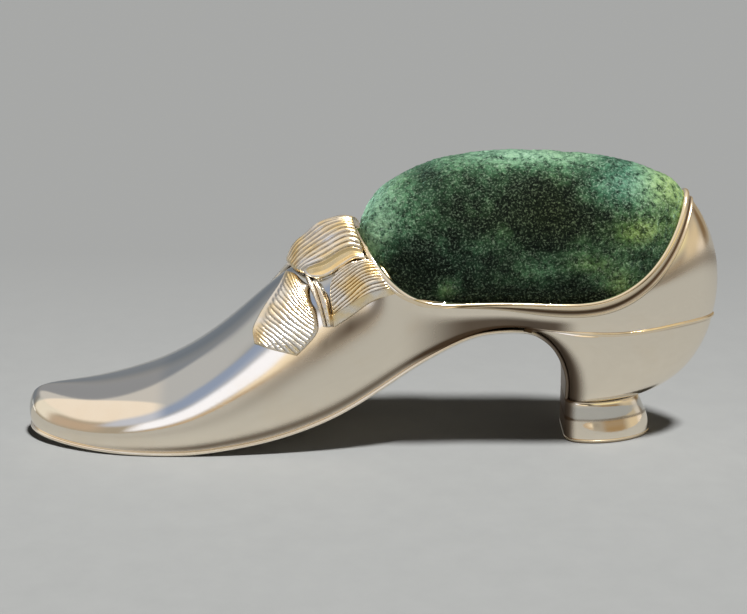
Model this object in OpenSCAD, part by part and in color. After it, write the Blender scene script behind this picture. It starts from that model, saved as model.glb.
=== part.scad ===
// Silver court shoe that holds a velvet pad for hat pins.
// The shoe stands on the ball of its sole and on its heel: +Z is up, the toe
// points to -X, and Z = 0 is the table.  All lengths are in millimetres.
// Points of the shoe are written for its right side, which lies at +Y, and
// the left side is the mirror image.

/* [Sheet] */
// Thickness of the stamped silver sheet
sheet = 0.7; // [0.5:0.1:0.8]
// Solder gap between two neighbouring pieces
gap = 0.04; // [0.02:0.01:0.06]

/* [Sole] */
// Thickness of the sole plate
sole_t = 0.7; // [0.5:0.05:0.7]
// How far the sole stands out past the upper
welt = 0.35; // [0.15:0.05:0.4]

/* [Heel] */
// Height of the cast foot under the heel, up to its shoulder
foot_h = 7.9; // [7.8:0.1:8.0]
// Thickness of the flat plate that closes the foot
tip_t = 0.8; // [0.5:0.1:1]
// Room between the heel wall and the filling
filling_room = 1.1; // [1:0.1:1.5]

/* [Rim] */
// Height of the rim moulding on the outside of the opening
rim_h = 1.6; // [1.2:0.1:1.8]
// Thickness of the rim moulding
rim_t = 0.65; // [0.5:0.05:0.7]
// Room for solder between the rim moulding and the upper
rim_room = 0.12; // [0.1:0.01:0.14]

/* [Bow] */
// Thickness of the bow's loops and tails
ribbon_t = 1.3; // [0.8:0.1:1.6]
// Thickness of the bow's knot at its crown
knot_t = 2.4; // [1.6:0.1:2.6]
// How far the free ends of the bow lift off the shoe
ribbon_lift = 0.85; // [0.8:0.05:1.2]

/* [Cushion] */
// Height of the crown of the cushion above the table
crown_z = 54.65; // [52:0.05:55]
// Thickness of the velvet with its pile
velvet_t = 0.8; // [0.6:0.1:1]
// Underside of the cushion above the table
pad_z = 26; // [25.8:0.1:26.4]
// Thickness of the card board in the cushion
board_t = 1; // [0.8:0.1:1.4]
// Room between the rim and the cushion
cushion_room = 0.35; // [0.3:0.05:0.6]
// Diameter of the gathering thread
thread_d = 0.5; // [0.4:0.05:0.6]

/* [Smoothness] */
// Facets between two stations along the shoe
steps_u = 3; // [2:1:3]
// Facets from the sole edge up to the top line
steps_v = 10; // [6:1:12]

/* [Hidden] */

// Puts the middle of the shoe's length at X = 0
middle_x = 0.55;

silver = "silver";
velvet = "darkgreen";

// One rib of the upper per line, from the toe tip to the back of the heel.
// Each rib is a Bezier curve: sole edge, low handle, high handle, top line.
// Each point is [length, half width, height].  Three ribs meet at the front
// of the opening, where the ridge of the vamp ends in the rim.
ribs = [
    [[-64.4, 0, 2.4], [-65.5, 0, 3.4], [-65.4, 0, 5.9], [-64.3, 0, 7.6]],
    [[-64.1, 2.9, 2.1], [-65, 3.5, 3.8], [-64.6, 2.5, 7.6], [-63.2, 0, 8.9]],
    [[-62, 5.6, 1.8], [-62.6, 6.7, 4.2], [-62, 3.9, 9.2], [-61.2, 0, 9.5]],
    [[-58.2, 8.3, 1.45], [-58.4, 9.8, 5], [-58, 5.2, 9.7], [-58, 0, 9.7]],
    [[-53, 10.7, 1.1], [-53, 12.6, 5.6], [-53, 7, 10], [-53, 0, 10]],
    [[-47, 12.4, 0.85], [-47, 14.6, 6.4], [-47, 8.4, 11.3], [-47, 0, 11.3]],
    [[-40, 13.1, 0.75], [-40, 15.4, 7.5], [-40, 9.2, 13.6], [-40, 0, 13.6]],
    [[-33, 13.1, 0.8], [-33, 15.4, 9.2], [-33, 9.6, 17.4], [-33, 0, 17.4]],
    [[-26, 12.75, 1.8], [-26, 15.2, 12], [-26, 9.6, 22.8], [-26, 0, 22.8]],
    [[-19, 12.2, 3.1], [-19, 14.8, 15], [-19, 9.2, 29.4], [-19, 0, 29.4]],
    [[-12, 11.5, 5.3], [-12, 14.2, 18], [-12, 8.8, 34.6], [-12, 0, 34.6]],
    [[-6.5, 10.95, 7.7], [-7, 13.6, 20.5], [-4.5, 8.2, 38.6], [-3, 0, 39.5]],
    [[-1.5, 10.3, 10.6], [-3, 13.2, 22.5], [-2.5, 8.2, 38.4], [-3, 0, 39.5]],
    [[3, 9.7, 13.6], [1, 12.8, 24.5], [-1.2, 8.6, 37.6], [-3, 0, 39.5]],
    [[7.5, 9.05, 16.6], [5, 12.1, 25.8], [1, 10.6, 35], [-2, 5, 38.7]],
    [[11.5, 8.5, 18.8], [9, 11.3, 26], [4, 11.9, 31.6], [0.5, 9.4, 34.6]],
    [[15.5, 7.95, 20.8], [13.3, 10.2, 25.8], [9.3, 12, 29], [4.6, 11.6, 30]],
    [[20, 7.45, 22.5], [18, 9.1, 25.3], [14.5, 11.3, 28.4], [11, 11.8, 28.4]],
    [[25, 7.2, 23.25], [24, 8.6, 25.3], [22, 10.7, 28], [19.5, 11, 28.75]],
    [[30.5, 7.7, 22.9], [30, 9.3, 24.9], [29, 10.9, 27.4], [28, 10.85, 28.7]],
    [[37, 9.2, 22.5], [37, 10.4, 24.6], [36.7, 11.2, 27], [36, 11, 28.3]],
    [[44, 10, 22.4], [44.4, 11.2, 25], [44, 11.5, 27.8], [43, 11.05, 29.2]],
    [[50.5, 9.3, 23], [52, 10.9, 27], [51.4, 11, 31.8], [49.5, 10.2, 33.2]],
    [[56.5, 7, 23.6], [58.8, 8.4, 29], [57.6, 8.6, 35.8], [54, 7.4, 39.2]],
    [[61.4, 3.6, 23.5], [63.6, 4.3, 31], [61.4, 4.2, 40.5], [56.4, 3.8, 45]],
    [[64.3, 0, 23.4], [66, 0, 31.8], [63.4, 0, 42], [57.1, 0, 47.9]],
];
last_u = len(ribs) - 1;
rim_u = 12;      // rib at the front of the opening
sole_u = 17;     // rib where the sole plate leaves the upper
breast_u = 18.5; // rib where the breast of the heel meets the seam
slight = 0.02;   // step along a curve that a direction is taken over

// Inner face of the sole plate where it leaves the upper and runs down the
// breast of the heel, [length, half width, height]
breast_foot = foot_h + gap;
plate_x = 36.7;  // inner face of the sole plate at the foot of the breast
breast = [
    [28.4, 7.2, 22.9], [31.4, 6.7, 21.3], [34.1, 5.7, 18.7], [35.9, 5, 15],
    [plate_x, 4.5, breast_foot + 4], [plate_x, 4.1, breast_foot + 2],
    [plate_x, 3.9, breast_foot], [plate_x, 3.7, breast_foot - 2],
];

// Level outlines of the heel wall from the seam down to the foot:
// [front, back, half width at the front, fullest half width, height]
heel_levels = [
    [30.8, 63.1, 7.4, 9.9, 21.8], [32.9, 62.6, 7.3, 9.7, 20],
    [35.1, 61.5, 6.95, 9.2, 17.2], [36.3, 59.6, 6.5, 8.4, 14],
    [36.75, 56.9, 6.1, 7.4, 11.2], [36.8, 53.8, 5.75, 6.5, 9.3],
    [36.8, 51.9, 5.5, 5.8, 8.5], [36.8, 49.9, 5.3, 5.2, breast_foot],
];
heel_end = len(heel_levels);
corner_x = 2.2;  // how far the rounded corner beside the breast reaches back
corner_y = 1.6;  // and how far it reaches in from the side

// Level outlines of the cast foot, from the neck down to the tip plate
foot_x = plate_x - sole_t - gap;
foot_levels = [
    [foot_x, 49.7, 5.2, 5.15, foot_h], [foot_x, 50.7, 5.4, 5.65, 7.4],
    [foot_x, 51.1, 5.5, 5.85, 6.6], [foot_x, 51.3, 5.55, 5.95, 5.2],
    [foot_x, 51.6, 5.6, 6.05, 3.8], [foot_x, 52.2, 5.75, 6.3, 2.4],
    [foot_x, 52.6, 5.85, 6.45, tip_t + gap],
];
tip = [foot_x, 52.6, 5.85, 6.45, 0];

// Outline in which the cushion comes up through the opening, from the front
// to the back, [length, half width, height of the rim there]
pad_outline = [
    [-1.6, 0, 39.9], [-1.2, 4.3, 39], [1.6, 8.1, 35], [5.4, 10.1, 30.6],
    [11, 10.4, 28.9], [19.5, 9.7, 29.1], [28, 9.5, 29], [36, 9.7, 28.7],
    [42.6, 9.6, 29.6], [48.6, 8.8, 33], [52.6, 6.4, 38.8], [54.9, 3.2, 44],
    [55.5, 0, 45.6],
];
pad_centre = [27, 0];
pad_half = [29, 9.8];  // half length and half width that an inset is taken from
pad_bulge = 1.3;       // how far the cushion swells out over the rim
pad_angles = [12, 26, 40, 54, 66, 77, 86];
pad_tuck = 1.6;        // inset of the underside from the opening
pad_round = 1.4;       // height over which the underside turns up into the side

// Corners of the bow's leaves on the shoe: [rib, share of the way up the rib],
// first the two at the toe end, low and high, then the two at the heel end
loop_corners = [[10.7, 0.42], [10.6, 0.7], [14.9, 0.6], [13, 0.86]];
tail_corners = [[8.9, 0.45], [8.8, 0.76], [10.3, 0.4], [10, 0.8]];
knot_corners = [[9.5, 0.85], [9.5, 1], [11.5, 0.78], [11.5, 1]];
knot_lift = ribbon_lift + 0.3;  // the knot's heel end clears the rim

// ---- curves -------------------------------------------------------------

function flip(p) = [p[0], -p[1], p[2]];

// A row of control points, continued past both ends by its mirror image
function closed_row(row) = concat([flip(row[1])], row, [flip(row[len(row) - 2])]);

// Cubic B-spline through a continued row, with u counted in control points
function spline(row, u) =
    let (i = min(floor(u), len(row) - 4), f = u - i)
    ((1 - f)^3 * row[i] + (3 * f^3 - 6 * f^2 + 4) * row[i + 1]
        + (3 * (f + f^2 - f^3) + 1) * row[i + 2] + f^3 * row[i + 3]) / 6;

function bezier(a, b, c, d, v) =
    (1 - v)^3 * a + 3 * (1 - v)^2 * v * b + 3 * (1 - v) * v^2 * c + v^3 * d;

// ---- outer surface of the upper -----------------------------------------

rails = [for (k = [0 : 3]) closed_row([for (rib = ribs) rib[k]])];

function upper_at(u, v) =
    bezier(spline(rails[0], u), spline(rails[1], u),
        spline(rails[2], u), spline(rails[3], u), v);

// Outward normal, taken a little inside the edges of the surface
top_v = 0.94;    // the highest place on a rib where a normal is taken
function upper_normal(u, v) =
    let (e = slight, a = min(max(u, e), last_u - e), b = min(max(v, e), top_v),
        n = cross(upper_at(a, b + e) - upper_at(a, b - e),
            upper_at(a + e, b) - upper_at(a - e, b)),
        on_ridge = v == 1 && u <= rim_u,
        flat = on_ridge || u == 0 || u == last_u ? [n[0], 0, n[2]] : n)
    flat / norm(flat);

// Point at a height above the outer surface, kept on its own side of Y = 0
function off_upper(u, v, height) =
    let (p = upper_at(u, v) + height * upper_normal(u, v))
    [p[0], max(p[1], 0), p[2]];

module placed() {
    translate([middle_x, 0, 0]) children();
}

// ---- solids from grids of points ----------------------------------------

function quad(a, b, c, d) = [[a, b, c], [a, c, d]];

// Sheet between an outer and an inner grid with the same rows and columns
module slab(outer, inner) {
    m = len(outer);
    n = len(outer[0]);
    ring = concat([for (i = [0 : m - 2]) i * n], [for (j = [0 : n - 2]) (m - 1) * n + j],
        [for (i = [m - 1 : -1 : 1]) i * n + n - 1], [for (j = [n - 1 : -1 : 1]) j]);
    points = [for (grid = [outer, inner]) for (line = grid) each line];
    faces = concat(
        [for (i = [0 : m - 2], j = [0 : n - 2]) let (a = i * n + j)
            each quad(a, a + n, a + n + 1, a + 1)],
        [for (i = [0 : m - 2], j = [0 : n - 2]) let (a = m * n + i * n + j)
            each quad(a, a + 1, a + n + 1, a + n)],
        [for (k = [0 : len(ring) - 1])
            let (a = ring[k], b = ring[(k + 1) % len(ring)])
            each quad(b, a, a + m * n, b + m * n)]);
    polyhedron(points, faces);
}

function centroid(ring) =
    let (total = [for (p = ring) 1] * ring)
    total / len(ring);

// Solid through closed rings, each turning right-handed about the way along
module loft(rings) {
    m = len(rings);
    n = len(rings[0]);
    points = concat([for (ring = rings) each ring],
        [centroid(rings[0]), centroid(rings[m - 1])]);
    faces = concat(
        [for (k = [0 : m - 2], j = [0 : n - 1])
            let (a = k * n + j, b = k * n + (j + 1) % n)
            each quad(a, a + n, b + n, b)],
        [for (j = [0 : n - 1]) [m * n, j, (j + 1) % n]],
        [for (j = [0 : n - 1])
            [m * n + 1, (m - 1) * n + (j + 1) % n, (m - 1) * n + j]]);
    polyhedron(points, faces);
}

// Ring-shaped solid through rings that come back to the first one
module closed_loft(rings) {
    m = len(rings);
    n = len(rings[0]);
    faces = [for (k = [0 : m - 1], j = [0 : n - 1])
        let (next = ((k + 1) % m) * n, a = k * n, b = (j + 1) % n)
        each quad(a + j, next + j, next + b, a + b)];
    polyhedron([for (ring = rings) each ring], faces);
}

// ---- upper ----------------------------------------------------------------

module upper_half() {
    us = [for (i = [0 : last_u * steps_u]) i / steps_u];
    vs = [for (j = [0 : steps_v]) j / steps_v];
    slab([for (u = us) [for (v = vs) upper_at(u, v)]],
        [for (u = us) [for (v = vs) off_upper(u, v, -sheet)]]);
}

module upper_left() {
    color(silver) placed() mirror([0, 1, 0]) upper_half();
}

module upper_right() {
    color(silver) placed() upper_half();
}

// ---- sole -------------------------------------------------------------------

sole_rail = closed_row(concat([for (i = [0 : sole_u]) ribs[i][0]], breast));
sole_end = sole_u + len(breast) - 1;  // the control point at the foot of the breast
sole_start = 0.06;                    // the plate begins just inside the toe tip

// Cross-section of the plate at u, right-handed about the way to the heel
function sole_ring(u) =
    let (e = slight, p = spline(sole_rail, u),
        d = spline(sole_rail, u + e) - spline(sole_rail, max(u - e, 0)),
        down = [d[2], 0, -d[0]] / norm([d[0], d[2]]),
        side = [-d[1], d[0], 0] / norm(d),
        out = u < sole_u ? side : [0, 1, 0],
        half = [for (q = [[0.1, 1], [1, 0.7], [1, 0.3], [0.1, 0]])
            p + q[0] * welt * out + (gap + q[1] * sole_t) * down])
    concat(half, [for (k = [3 : -1 : 0]) flip(half[k])]);

module sole_plate() {
    color(silver) placed() loft([for (i = [0 : sole_end * 2])
        sole_ring(max(i / 2, sole_start))]);
}

// ---- heel -------------------------------------------------------------------

// Right half of a level outline, with t from 0 at the front to 1 at the back
function level_at(level, t) =
    let (front = level[0], back = level[1], length = back - front,
        low = [front, level[2], level[4]],
        p = bezier(low, [front + 0.38 * length, 1.38 * level[3], level[4]],
            [back, 0.64 * level[3], level[4]], [back, 0, level[4]], t),
        left = 1 - min((p[0] - front) / corner_x, 1),
        cut = corner_y * (1 - sqrt(1 - left^2)))
    p - [0, cut, 0];

// Places along an outline, closest together at its rounded front corner
function spread(steps) = [for (i = [0 : steps]) (i / steps)^1.6];

// Whole closed outline at a level, counter-clockwise from above
function level_ring(level, steps = 15) =
    let (ts = spread(steps))
    concat([for (t = ts) flip(level_at(level, t))],
        [for (i = [steps - 1 : -1 : 0]) level_at(level, ts[i])]);

// Column of control points of the heel wall, from the seam down to the foot
function heel_column(t) =
    let (seam = spline(rails[0], breast_u + t * (last_u - breast_u)) - [0, 0, 2 * gap],
        points = concat([seam], [for (level = heel_levels) level_at(level, t)]),
        n = len(points))
    concat([2 * points[0] - points[1]], points, [2 * points[n - 1] - points[n - 2]]);

function heel_at(t, s) = spline(heel_column(t), s);

function heel_inner(t, s) =
    let (e = slight, a = min(max(t, e), 1 - e),
        d = heel_at(a + e, s) - heel_at(a - e, s),
        n = t == 1 ? [1, 0, 0] : [-d[1], d[0], 0] / norm([d[0], d[1]]),
        p = heel_at(t, s) - sheet * n)
    [p[0], max(p[1], 0), p[2]];

module heel_half() {
    ts = spread(16);
    ss = [for (j = [2 * heel_end : -1 : 0]) j / 2];
    slab([for (t = ts) [for (s = ss) heel_at(t, s)]],
        [for (t = ts) [for (s = ss) heel_inner(t, s)]]);
}

module heel_left() {
    color(silver) placed() mirror([0, 1, 0]) heel_half();
}

module heel_right() {
    color(silver) placed() heel_half();
}

module heel_foot() {
    n = len(foot_levels);
    color(silver) placed() loft([for (k = [n - 1 : -1 : 0]) level_ring(foot_levels[k])]);
}

module heel_tip_plate() {
    color(silver) placed() linear_extrude(tip_t)
        polygon([for (p = level_ring(tip)) [p[0], p[1]]]);
}

// Outline of the filling at a level of the heel wall
function filling_level(level) = [level[0] + filling_room, level[1] - filling_room,
    level[2] - filling_room, level[3] - filling_room, level[4]];

module heel_filling() {
    color("dimgray") placed() loft([for (k = [5 : -1 : 1])
        level_ring(filling_level(heel_levels[k]), 12)]);
}

// ---- rim --------------------------------------------------------------------

// The moulding hooks over the top edge of the upper.  Its skirt lies on the
// outer surface, [height off the surface, depth below the top edge], and its
// bead lies above the edge, [outwards, upwards].
rim_skirt = [
    [rim_room, 0], [rim_room, rim_h / 2], [rim_room, rim_h],
    [0.6 * rim_t, rim_h], [rim_t, rim_h - 0.4], [rim_t, 0.1],
];
rim_bead = [
    [0.6 * rim_t, 0.3], [0.2 - sheet, 0.3], [-sheet, rim_room], [rim_room, rim_room],
];

function rim_ring(u) =
    let (e = slight, a = min(max(u, rim_u + e), last_u - e),
        d = spline(rails[3], a + e) - spline(rails[3], a - e),
        end = u == rim_u || u == last_u,
        n = upper_normal(a, top_v),
        out = end ? [n[0], 0, n[2]] / norm([n[0], n[2]]) : n,
        along = u == rim_u ? [0, 1, 0] : u == last_u ? [0, -1, 0] : d / norm(d),
        rise = cross(along, out),
        up = rise / norm(rise),
        p = spline(rails[3], u),
        climb = 3 * norm(p - spline(rails[2], u)))
    concat([for (q = rim_skirt) off_upper(u, 1 - q[1] / climb, q[0])],
        [for (q = rim_bead) p + q[0] * out + q[1] * up]);

module rim_wire() {
    us = [for (i = [0 : (last_u - rim_u) * steps_u]) rim_u + i / steps_u];
    right = [for (u = us) rim_ring(u)];
    n = len(right);
    color(silver) placed() closed_loft(concat(right,
        [for (k = [n - 2 : -1 : 1]) [for (p = right[k]) flip(p)]]));
}

// ---- bow --------------------------------------------------------------------

function corner_mix(c, a, b) =
    (1 - a) * ((1 - b) * c[0] + b * c[1]) + a * ((1 - b) * c[2] + b * c[3]);

// Leaf of ribbon on the upper; lift_a and lift_b are how far its toe end and
// its heel end stand off, and the crown makes it thickest in the middle
module leaf(corners, thickness, lift_a, lift_b, m = 10, n = 6) {
    function height(a) = gap + lift_a * (1 - a) + lift_b * a;
    function crown(a) = thickness * (0.45 + 0.55 * sin(180 * a));
    function grid(top) = [for (i = [0 : m]) [for (j = [0 : n])
        let (a = i / m, c = corner_mix(corners, a, j / n))
        off_upper(c[0], c[1], height(a) + (top ? crown(a) : 0))]];
    slab(grid(true), grid(false));
}

module bow_loop() {
    leaf(loop_corners, ribbon_t, 0, ribbon_lift);
}

module bow_tail() {
    leaf(tail_corners, ribbon_t, 0.4 * ribbon_lift, 0);
}

module bow_knot() {
    color(silver) placed() {
        leaf(knot_corners, knot_t, 0, knot_lift);
        mirror([0, 1, 0]) leaf(knot_corners, knot_t, 0, knot_lift);
    }
}

module bow_loop_left() {
    color(silver) placed() mirror([0, 1, 0]) bow_loop();
}

module bow_loop_right() {
    color(silver) placed() bow_loop();
}

module bow_tail_left() {
    color(silver) placed() mirror([0, 1, 0]) bow_tail();
}

module bow_tail_right() {
    color(silver) placed() bow_tail();
}

// ---- cushion ----------------------------------------------------------------

pad_row = closed_row(pad_outline);
pad_last = len(pad_outline) - 1;

// Point of the outline moved towards the middle of the cushion
function pad_inset(p, inset) = [
    pad_centre[0] + (p[0] - pad_centre[0]) * (1 - inset / pad_half[0]),
    p[1] * (1 - inset / pad_half[1]), p[2]];

// Points up one line of the cushion, from its underside at z to the crown
function pad_column(u, inset, z) =
    let (edge = pad_inset(spline(pad_row, u), cushion_room), rim = pad_inset(edge, inset),
        tucked = pad_inset(edge, inset + pad_tuck), tall = crown_z - inset - rim[2])
    concat([[tucked[0], tucked[1], z]],
        [pad_inset([rim[0], rim[1], z + pad_round], pad_tuck / 4)],
        [rim],
        [for (angle = pad_angles)
            let (share = cos(angle)^0.9,
                swell = 1 + pad_bulge * sin(2 * angle) * rim[1] / pad_half[1]^2)
            [pad_centre[0] + (rim[0] - pad_centre[0]) * share,
                rim[1] * share * swell, rim[2] + tall * sin(angle)]]);

function around(inset, z) =
    let (us = [for (i = [0 : pad_last * 2]) i / 2], n = len(us),
        right = [for (u = us) pad_column(u, inset, z)])
    concat([for (line = right) [for (p = line) flip(p)]],
        [for (k = [n - 2 : -1 : 1]) right[k]]);

module pad(inset, z) {
    lines = around(inset, z);
    loft([for (k = [0 : len(lines[0]) - 1]) [for (line = lines) line[k]]]);
}

// Flat outline of the cushion at an inset, as 2-D points
function flat_outline(inset) = [for (line = around(inset, 0)) [line[0][0], line[0][1]]];

board_z = pad_z + velvet_t + gap;
mouth_inset = 5;      // the velvet stops this far in on the underside

module velvet_cover() {
    color(velvet) placed() difference() {
        pad(0, pad_z);
        pad(velvet_t, pad_z + velvet_t);
        translate([0, 0, pad_z - 1]) linear_extrude(velvet_t + 2)
            polygon(flat_outline(mouth_inset));
    }
}

module stuffing() {
    color("tan") placed() pad(velvet_t + 2 * gap, board_z + board_t + gap);
}

module cushion_board() {
    color("burlywood") placed() translate([0, 0, board_z]) linear_extrude(board_t)
        polygon(flat_outline(velvet_t + 2 * gap));
}

// Closed loop of thread that draws the velvet together under the board
module gathering_thread() {
    outline = flat_outline(mouth_inset - 1.2);
    n = len(outline);
    r = thread_d / 2;
    color("ivory") placed() closed_loft([for (k = [0 : n - 1])
        let (p = outline[k], d = outline[(k + 1) % n] - outline[(k + n - 1) % n],
            side = [-d[1], d[0], 0] / norm(d))
        [for (j = [0 : 5])
            [p[0], p[1], pad_z - r - gap] + r * (cos(60 * j) * side
                + [0, 0, sin(60 * j)])]]);
}

upper_left();
upper_right();
sole_plate();
heel_left();
heel_right();
heel_foot();
heel_tip_plate();
heel_filling();
rim_wire();
bow_knot();
bow_loop_left();
bow_loop_right();
bow_tail_left();
bow_tail_right();
velvet_cover();
stuffing();
cushion_board();
gathering_thread();
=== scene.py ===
"""A silver court shoe that holds a velvet pad for hat pins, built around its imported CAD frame.

The shoe stands on the ball of its sole and on its heel.  The toe points to -X, the left side
lies at -Y and Z = 0 is the table.  Shapes are worked out in millimetres, with half widths
positive, and new_piece() writes them in metres.
"""
import math

import bmesh
import bpy
import numpy as np
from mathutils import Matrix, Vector, noise


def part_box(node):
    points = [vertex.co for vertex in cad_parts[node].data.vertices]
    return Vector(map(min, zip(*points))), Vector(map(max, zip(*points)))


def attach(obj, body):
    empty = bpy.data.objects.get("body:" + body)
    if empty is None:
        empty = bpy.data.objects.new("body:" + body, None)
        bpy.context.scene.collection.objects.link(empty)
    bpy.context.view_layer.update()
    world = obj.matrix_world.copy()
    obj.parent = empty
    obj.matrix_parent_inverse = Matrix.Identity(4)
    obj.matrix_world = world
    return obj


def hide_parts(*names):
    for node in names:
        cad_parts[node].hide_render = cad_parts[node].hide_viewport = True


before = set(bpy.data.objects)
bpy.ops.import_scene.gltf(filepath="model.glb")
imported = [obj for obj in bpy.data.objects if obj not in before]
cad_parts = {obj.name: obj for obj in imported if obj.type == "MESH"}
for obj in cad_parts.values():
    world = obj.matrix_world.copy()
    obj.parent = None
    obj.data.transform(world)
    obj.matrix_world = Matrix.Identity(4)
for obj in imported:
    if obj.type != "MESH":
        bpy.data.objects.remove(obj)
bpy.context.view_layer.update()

METRE = 1000.0                  # millimetres in a metre
MIRROR = np.array([1.0, -1.0, 1.0])
TIP_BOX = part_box("heel_tip_plate")
PAD_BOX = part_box("velvet_cover")

# The design's own middle of the shoe's length lies this far in front of the frame's origin
MIDDLE_X = 0.55

# ---- the upper's outline, as in the CAD ----

# One rib per line from the toe tip to the back of the heel: sole edge, low handle, high
# handle, top line, each [length, half width, height]
RIBS = np.array([
    [[-64.4, 0, 2.4], [-65.5, 0, 3.4], [-65.4, 0, 5.9], [-64.3, 0, 7.6]],
    [[-64.1, 2.9, 2.1], [-65, 3.5, 3.8], [-64.6, 2.5, 7.6], [-63.2, 0, 8.9]],
    [[-62, 5.6, 1.8], [-62.6, 6.7, 4.2], [-62, 3.9, 9.2], [-61.2, 0, 9.5]],
    [[-58.2, 8.3, 1.45], [-58.4, 9.8, 5], [-58, 5.2, 9.7], [-58, 0, 9.7]],
    [[-53, 10.7, 1.1], [-53, 12.6, 5.6], [-53, 7, 10], [-53, 0, 10]],
    [[-47, 12.4, 0.85], [-47, 14.6, 6.4], [-47, 8.4, 11.3], [-47, 0, 11.3]],
    [[-40, 13.1, 0.75], [-40, 15.4, 7.5], [-40, 9.2, 13.6], [-40, 0, 13.6]],
    [[-33, 13.1, 0.8], [-33, 15.4, 9.2], [-33, 9.6, 17.4], [-33, 0, 17.4]],
    [[-26, 12.75, 1.8], [-26, 15.2, 12], [-26, 9.6, 22.8], [-26, 0, 22.8]],
    [[-19, 12.2, 3.1], [-19, 14.8, 15], [-19, 9.2, 29.4], [-19, 0, 29.4]],
    [[-12, 11.5, 5.3], [-12, 14.2, 18], [-12, 8.8, 34.6], [-12, 0, 34.6]],
    [[-6.5, 10.95, 7.7], [-7, 13.6, 20.5], [-4.5, 8.2, 38.6], [-3, 0, 39.5]],
    [[-1.5, 10.3, 10.6], [-3, 13.2, 22.5], [-2.5, 8.2, 38.4], [-3, 0, 39.5]],
    [[3, 9.7, 13.6], [1, 12.8, 24.5], [-1.2, 8.6, 37.6], [-3, 0, 39.5]],
    [[7.5, 9.05, 16.6], [5, 12.1, 25.8], [1, 10.6, 35], [-2, 5, 38.7]],
    [[11.5, 8.5, 18.8], [9, 11.3, 26], [4, 11.9, 31.6], [0.5, 9.4, 34.6]],
    [[15.5, 7.95, 20.8], [13.3, 10.2, 25.8], [9.3, 12, 29], [4.6, 11.6, 30]],
    [[20, 7.45, 22.5], [18, 9.1, 25.3], [14.5, 11.3, 28.4], [11, 11.8, 28.4]],
    [[25, 7.2, 23.25], [24, 8.6, 25.3], [22, 10.7, 28], [19.5, 11, 28.75]],
    [[30.5, 7.7, 22.9], [30, 9.3, 24.9], [29, 10.9, 27.4], [28, 10.85, 28.7]],
    [[37, 9.2, 22.5], [37, 10.4, 24.6], [36.7, 11.2, 27], [36, 11, 28.3]],
    [[44, 10, 22.4], [44.4, 11.2, 25], [44, 11.5, 27.8], [43, 11.05, 29.2]],
    [[50.5, 9.3, 23], [52, 10.9, 27], [51.4, 11, 31.8], [49.5, 10.2, 33.2]],
    [[56.5, 7, 23.6], [58.8, 8.4, 29], [57.6, 8.6, 35.8], [54, 7.4, 39.2]],
    [[61.4, 3.6, 23.5], [63.6, 4.3, 31], [61.4, 4.2, 40.5], [56.4, 3.8, 45]],
    [[64.3, 0, 23.4], [66, 0, 31.8], [63.4, 0, 42], [57.1, 0, 47.9]],
], float)
LAST_U = len(RIBS) - 1
RIM_U = 12          # rib at the front of the opening
SOLE_U = 17         # rib where the sole plate leaves the upper
BREAST_U = 18.5     # rib where the breast of the heel meets the seam
TOP_V = 0.94        # highest place on a rib where a normal is taken
SHEET = 0.7         # thickness of the silver
SOLE_T = 0.7
WELT = 0.4          # how far the sole's edge stands out
FOOT_H = 7.9        # height of the shoulder between the heel and its foot
PLATE_X = 36.7      # inner face of the sole plate at the foot of the breast
CORNER = (2.2, 1.6) # reach of the rounded corner beside the breast, backwards and inwards

# Level outlines of the heel and of its foot:
# [front, back, half width at the front, fullest half width, height]
HEEL_LEVELS = np.array([
    [30.8, 63.1, 7.4, 9.9, 21.8], [32.9, 62.6, 7.3, 9.7, 20],
    [35.1, 61.5, 6.95, 9.2, 17.2], [36.3, 59.6, 6.5, 8.4, 14],
    [36.75, 56.9, 6.1, 7.4, 11.2], [36.8, 53.8, 5.75, 6.5, 9.3],
    [36.8, 51.9, 5.5, 5.8, 8.5], [36.8, 49.9, 5.3, 5.2, FOOT_H],
], float)
FOOT_X = PLATE_X - SOLE_T
FOOT_LEVELS = np.array([
    [FOOT_X, 49.7, 5.2, 5.0, 7.9], [FOOT_X, 50.1, 5.35, 5.5, 7.7],
    [FOOT_X, 50.5, 5.4, 5.75, 7.1], [FOOT_X, 50.9, 5.4, 5.85, 6.1],
    [FOOT_X, 51.4, 5.4, 5.9, 5], [FOOT_X, 51.8, 5.4, 6.0, 4.2],
    [FOOT_X, 52.2, 5.5, 6.4, 3], [FOOT_X, 52.5, 5.55, 6.7, 1.8],
    [FOOT_X, 52.6, 5.6, 6.85, 0.8],
], float)
HEEL_MIDDLE = [PLATE_X + 8, 0, 14]
BREAST = np.array([
    [28.4, 7.2, 22.9], [31.4, 6.7, 21.3], [34.1, 5.7, 18.7], [35.9, 5, 15],
    [PLATE_X, 4.5, FOOT_H + 4], [PLATE_X, 4.1, FOOT_H + 2],
    [PLATE_X, 3.9, FOOT_H], [PLATE_X, 3.7, FOOT_H - 2],
], float)

# Where the pad comes up through the opening: [length, half width, height of the rim there]
PAD_OUTLINE = np.array([
    [-1.6, 0, 39.9], [-1.2, 4.3, 39], [1.6, 8.1, 35], [5.4, 10.1, 30.6],
    [11, 10.4, 28.9], [19.5, 9.7, 29.1], [28, 9.5, 29], [36, 9.7, 28.7],
    [42.6, 9.6, 29.6], [48.6, 8.8, 33], [52.6, 6.4, 38.8], [54.9, 3.2, 44],
    [55.5, 0, 45.6],
], float)
PAD_CENTRE_X = 27.0


# ---- curves ----

def closed_row(row):
    """A row of control points, continued past both ends by its mirror image."""
    return np.concatenate([[row[1] * MIRROR], row, [row[-2] * MIRROR]])


def spline(row, u):
    """Cubic B-spline through a continued row, with u counted in control points."""
    u = np.asarray(u, float)
    i = np.minimum(np.floor(u).astype(int), len(row) - 4)
    f = (u - i)[..., None]
    return ((1 - f) ** 3 * row[i] + (3 * f ** 3 - 6 * f ** 2 + 4) * row[i + 1]
            + (3 * (f + f ** 2 - f ** 3) + 1) * row[i + 2] + f ** 3 * row[i + 3]) / 6


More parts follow.
